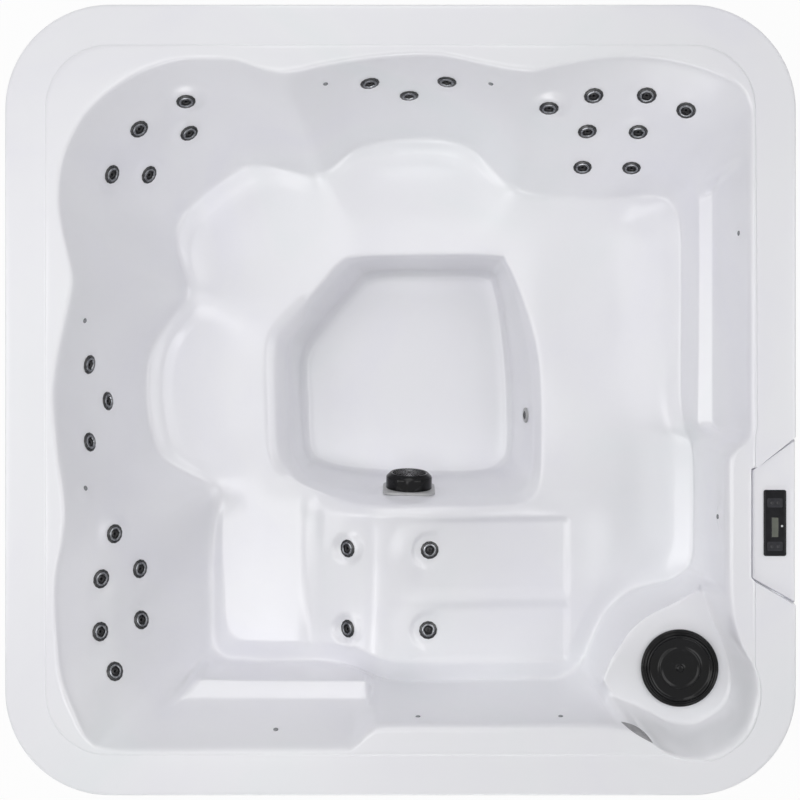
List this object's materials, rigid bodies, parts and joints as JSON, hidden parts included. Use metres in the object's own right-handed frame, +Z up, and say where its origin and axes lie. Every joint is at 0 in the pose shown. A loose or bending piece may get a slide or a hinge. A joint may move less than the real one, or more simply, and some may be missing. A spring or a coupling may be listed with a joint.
{
  "type": "acrylic hot tub",
  "caption": "Square acrylic hot tub with moulded seats, a lounge, hydrotherapy jets, a control panel, a corner filter and a central footwell, on a panelled cabinet.",
  "frame": {"origin": "on the floor, under the middle of the tub", "axes": "+Z up, +Y to the back seat, +X to the side with the control panel"},
  "size_m": [2, 2, 0.8],
  "materials": {
    "acrylic": "glossy white acrylic with a faint pearl",
    "jet_black": "black moulded plastic with a bright ring",
    "pipe_white": "white pipe",
    "cable_black": "black cable sheath",
    "panel_black": "near-black membrane bezel",
    "window_grey": "dark display window",
    "button_grey": "dark grey button caps",
    "lid_black": "glossy black moulding",
    "cartridge_cream": "pleated filter cloth",
    "fitting_grey": "grey moulded fitting",
    "cabinet_grey": "dark grey cabinet board",
    "frame_steel": "galvanised section",
    "base_black": "black base pan",
    "pump_black": "black pump housing",
    "heater_steel": "stainless heater tube",
    "box_grey": "grey control box"
  },
  "bodies": {
    "tub": {"acrylic_shell": "acrylic", "captain_manifold": "pipe_white", "back_manifold": "pipe_white", "corner_manifold": "pipe_white", "left_manifold": "pipe_white", "lounge_manifold": "pipe_white", "perimeter_light_string": "cable_black", "control_panel_housing": "panel_black", "panel_window": "window_grey", "filter_housing": "fitting_grey", "suction_body": "fitting_grey", "suction_cover": "lid_black", "return_fitting": "fitting_grey", "jet_pump": "pump_black", "heater_tube": "heater_steel", "control_box": "box_grey", "cabinet_frame": "frame_steel", "cabinet_panel_right": "cabinet_grey", "cabinet_panel_back": "cabinet_grey", "cabinet_panel_left": "cabinet_grey", "cabinet_panel_front": "cabinet_grey", "base_pan": "base_black", "drain_valve": "fitting_grey"},
    "corner_seat_jet_1": {"corner_seat_jet_1": "jet_black"},
    "corner_seat_jet_2": {"corner_seat_jet_2": "jet_black"},
    "corner_seat_jet_3": {"corner_seat_jet_3": "jet_black"},
    "corner_seat_jet_4": {"corner_seat_jet_4": "jet_black"},
    "corner_seat_jet_5": {"corner_seat_jet_5": "jet_black"},
    "back_seat_jet_1": {"back_seat_jet_1": "jet_black"},
    "back_seat_jet_2": {"back_seat_jet_2": "jet_black"},
    "back_seat_jet_3": {"back_seat_jet_3": "jet_black"},
    "captain_seat_jet_1": {"captain_seat_jet_1": "jet_black"},
    "captain_seat_jet_2": {"captain_seat_jet_2": "jet_black"},
    "captain_seat_jet_3": {"captain_seat_jet_3": "jet_black"},
    "captain_seat_jet_4": {"captain_seat_jet_4": "jet_black"},
    "captain_seat_jet_5": {"captain_seat_jet_5": "jet_black"},
    "captain_seat_jet_6": {"captain_seat_jet_6": "jet_black"},
    "captain_seat_jet_7": {"captain_seat_jet_7": "jet_black"},
    "captain_seat_jet_8": {"captain_seat_jet_8": "jet_black"},
    "left_seat_jet_1": {"left_seat_jet_1": "jet_black"},
    "left_seat_jet_2": {"left_seat_jet_2": "jet_black"},
    "left_seat_jet_3": {"left_seat_jet_3": "jet_black"},
    "lounge_back_jet_1": {"lounge_back_jet_1": "jet_black"},
    "lounge_back_jet_2": {"lounge_back_jet_2": "jet_black"},
    "lounge_back_jet_3": {"lounge_back_jet_3": "jet_black"},
    "lounge_back_jet_4": {"lounge_back_jet_4": "jet_black"},
    "lounge_back_jet_5": {"lounge_back_jet_5": "jet_black"},
    "lounge_back_jet_6": {"lounge_back_jet_6": "jet_black"},
    "lounge_leg_jet_1": {"lounge_leg_jet_1": "jet_black"},
    "lounge_leg_jet_2": {"lounge_leg_jet_2": "jet_black"},
    "lounge_leg_jet_3": {"lounge_leg_jet_3": "jet_black"},
    "lounge_leg_jet_4": {"lounge_leg_jet_4": "jet_black"},
    "panel_button_1": {"panel_button_1": "button_grey"},
    "panel_button_2": {"panel_button_2": "button_grey"},
    "panel_button_3": {"panel_button_3": "button_grey"},
    "panel_button_4": {"panel_button_4": "button_grey"},
    "filter_lid": {"filter_lid": "lid_black"},
    "filter_cartridge": {"filter_cartridge": "cartridge_cream"},
    "pump_rotor": {"pump_rotor": "pump_black"},
    "drain_cap": {"drain_cap": "jet_black"}
  },
  "joints": [
    {"name": "corner_seat_jet_1_turn", "type": "hinge", "parent": "tub", "child": "corner_seat_jet_1", "pos_m": [-0.56121, 0.78083, 0.67146], "axis": [0.1644, -0.8669, 0.4705], "range_deg": [0, 90]},
    {"name": "corner_seat_jet_2_turn", "type": "hinge", "parent": "tub", "child": "corner_seat_jet_2", "pos_m": [-0.68447, 0.70939, 0.66698], "axis": [0.5483, -0.6389, 0.5396], "range_deg": [0, 90]},
    {"name": "corner_seat_jet_3_turn", "type": "hinge", "parent": "tub", "child": "corner_seat_jet_3", "pos_m": [-0.5687, 0.71801, 0.56728], "axis": [0.4774, -0.7324, 0.4854], "range_deg": [0, 90]},
    {"name": "corner_seat_jet_4_turn", "type": "hinge", "parent": "tub", "child": "corner_seat_jet_4", "pos_m": [-0.75893, 0.59353, 0.65027], "axis": [0.8013, -0.3503, 0.485], "range_deg": [0, 90]},
    {"name": "corner_seat_jet_5_turn", "type": "hinge", "parent": "tub", "child": "corner_seat_jet_5", "pos_m": [-0.68046, 0.60941, 0.54599], "axis": [0.7365, -0.4609, 0.4951], "range_deg": [0, 90]},
    {"name": "back_seat_jet_1_turn", "type": "hinge", "parent": "tub", "child": "back_seat_jet_1", "pos_m": [-0.0799, 0.82441, 0.68912], "axis": [0.1623, -0.9377, 0.3072], "range_deg": [0, 90]},
    {"name": "back_seat_jet_2_turn", "type": "hinge", "parent": "tub", "child": "back_seat_jet_2", "pos_m": [0.02302, 0.81047, 0.60603], "axis": [0.0361, -0.9616, 0.2719], "range_deg": [0, 90]},
    {"name": "back_seat_jet_3_turn", "type": "hinge", "parent": "tub", "child": "back_seat_jet_3", "pos_m": [0.12086, 0.82878, 0.68667], "axis": [-0.1132, -0.9494, 0.293], "range_deg": [0, 90]},
    {"name": "captain_seat_jet_1_turn", "type": "hinge", "parent": "tub", "child": "captain_seat_jet_1", "pos_m": [0.38784, 0.7628, 0.67431], "axis": [-0.0651, -0.8888, 0.4537], "range_deg": [0, 90]},
    {"name": "captain_seat_jet_2_turn", "type": "hinge", "parent": "tub", "child": "captain_seat_jet_2", "pos_m": [0.50103, 0.78979, 0.69967], "axis": [0.0224, -0.7992, 0.6007], "range_deg": [0, 90]},
    {"name": "captain_seat_jet_3_turn", "type": "hinge", "parent": "tub", "child": "captain_seat_jet_3", "pos_m": [0.63792, 0.78951, 0.70382], "axis": [-0.1284, -0.7615, 0.6353], "range_deg": [0, 90]},
    {"name": "captain_seat_jet_4_turn", "type": "hinge", "parent": "tub", "child": "captain_seat_jet_4", "pos_m": [0.74287, 0.75358, 0.69086], "axis": [-0.2345, -0.7368, 0.6342], "range_deg": [0, 90]},
    {"name": "captain_seat_jet_5_turn", "type": "hinge", "parent": "tub", "child": "captain_seat_jet_5", "pos_m": [0.499, 0.71789, 0.59292], "axis": [0.02, -0.8332, 0.5526], "range_deg": [0, 90]},
    {"name": "captain_seat_jet_6_turn", "type": "hinge", "parent": "tub", "child": "captain_seat_jet_6", "pos_m": [0.63288, 0.71387, 0.60504], "axis": [-0.0907, -0.8188, 0.5668], "range_deg": [0, 90]},
    {"name": "captain_seat_jet_7_turn", "type": "hinge", "parent": "tub", "child": "captain_seat_jet_7", "pos_m": [0.50099, 0.6408, 0.47979], "axis": [-0.0487, -0.8222, 0.5671], "range_deg": [0, 90]},
    {"name": "captain_seat_jet_8_turn", "type": "hinge", "parent": "tub", "child": "captain_seat_jet_8", "pos_m": [0.63389, 0.63711, 0.49141], "axis": [-0.1033, -0.8539, 0.5101], "range_deg": [0, 90]},
    {"name": "left_seat_jet_1_turn", "type": "hinge", "parent": "tub", "child": "left_seat_jet_1", "pos_m": [-0.81491, 0.09299, 0.66562], "axis": [0.9255, -0.151, 0.3473], "range_deg": [0, 90]},
    {"name": "left_seat_jet_2_turn", "type": "hinge", "parent": "tub", "child": "left_seat_jet_2", "pos_m": [-0.78654, -0.0028, 0.57207], "axis": [0.94, 0.0776, 0.3322], "range_deg": [0, 90]},
    {"name": "left_seat_jet_3_turn", "type": "hinge", "parent": "tub", "child": "left_seat_jet_3", "pos_m": [-0.81298, -0.11, 0.67082], "axis": [0.9183, 0.1343, 0.3724], "range_deg": [0, 90]},
    {"name": "lounge_back_jet_1_turn", "type": "hinge", "parent": "tub", "child": "lounge_back_jet_1", "pos_m": [-0.74897, -0.35, 0.66679], "axis": [0.7781, -0.0479, 0.6263], "range_deg": [0, 90]},
    {"name": "lounge_back_jet_2_turn", "type": "hinge", "parent": "tub", "child": "lounge_back_jet_2", "pos_m": [-0.77884, -0.46518, 0.68955], "axis": [0.7581, -0.1194, 0.6411], "range_deg": [0, 90]},
    {"name": "lounge_back_jet_3_turn", "type": "hinge", "parent": "tub", "child": "lounge_back_jet_3", "pos_m": [-0.69812, -0.45205, 0.5822], "axis": [0.8074, -0.049, 0.5879], "range_deg": [0, 90]},
    {"name": "lounge_back_jet_4_turn", "type": "hinge", "parent": "tub", "child": "lounge_back_jet_4", "pos_m": [-0.78055, -0.60197, 0.69304], "axis": [0.7623, 0.0503, 0.6453], "range_deg": [0, 90]},
    {"name": "lounge_back_jet_5_turn", "type": "hinge", "parent": "tub", "child": "lounge_back_jet_5", "pos_m": [-0.69424, -0.58862, 0.5846], "axis": [0.7741, 0.1656, 0.611], "range_deg": [0, 90]},
    {"name": "lounge_back_jet_6_turn", "type": "hinge", "parent": "tub", "child": "lounge_back_jet_6", "pos_m": [-0.74545, -0.70783, 0.68024], "axis": [0.7123, 0.2184, 0.6671], "range_deg": [0, 90]},
    {"name": "lounge_leg_jet_1_turn", "type": "hinge", "parent": "tub", "child": "lounge_leg_jet_1", "pos_m": [-0.14727, -0.41447, 0.42605], "axis": [-0.6252, -0.0695, 0.7774], "range_deg": [0, 90]},
    {"name": "lounge_leg_jet_2_turn", "type": "hinge", "parent": "tub", "child": "lounge_leg_jet_2", "pos_m": [-0.14729, -0.64021, 0.41318], "axis": [-0.6764, -0.033, 0.7357], "range_deg": [0, 90]},
    {"name": "lounge_leg_jet_3_turn", "type": "hinge", "parent": "tub", "child": "lounge_leg_jet_3", "pos_m": [0.08109, -0.41807, 0.43303], "axis": [0.1324, -0.1029, 0.9858], "range_deg": [0, 90]},
    {"name": "lounge_leg_jet_4_turn", "type": "hinge", "parent": "tub", "child": "lounge_leg_jet_4", "pos_m": [0.07706, -0.64301, 0.42057], "axis": [0.1193, -0.0124, 0.9928], "range_deg": [0, 90]},
    {"name": "panel_button_1_press", "type": "slide", "parent": "tub", "child": "panel_button_1", "axis": [0, 0, -1], "range_m": [0, 0.001], "stiffness_N_per_m": 400, "springref_m": -0.001},
    {"name": "panel_button_2_press", "type": "slide", "parent": "tub", "child": "panel_button_2", "axis": [0, 0, -1], "range_m": [0, 0.001], "stiffness_N_per_m": 400, "springref_m": -0.001},
    {"name": "panel_button_3_press", "type": "slide", "parent": "tub", "child": "panel_button_3", "axis": [0, 0, -1], "range_m": [0, 0.001], "stiffness_N_per_m": 400, "springref_m": -0.001},
    {"name": "panel_button_4_press", "type": "slide", "parent": "tub", "child": "panel_button_4", "axis": [0, 0, -1], "range_m": [0, 0.001], "stiffness_N_per_m": 400, "springref_m": -0.001},
    {"name": "filter_lid_lift", "type": "slide", "parent": "tub", "child": "filter_lid", "axis": [0, 0, 1], "range_m": [0, 0.3]},
    {"name": "filter_cartridge_lift", "type": "slide", "parent": "tub", "child": "filter_cartridge", "axis": [0, 0, 1], "range_m": [0, 0.24]},
    {"name": "pump_rotor_spin", "type": "hinge", "parent": "tub", "child": "pump_rotor", "pos_m": [0.64, -0.27, 0.135], "axis": [0, 1, 0], "continuous": true},
    {"name": "drain_cap_turn", "type": "hinge", "parent": "tub", "child": "drain_cap", "pos_m": [0.55, -0.986, 0.1], "axis": [0, -1, 0], "range_deg": [0, 90]}
  ],
  "couplings": [
    {"joint": "filter_cartridge_lift", "follows": "filter_lid_lift", "ratio": 0.8}
  ]
}
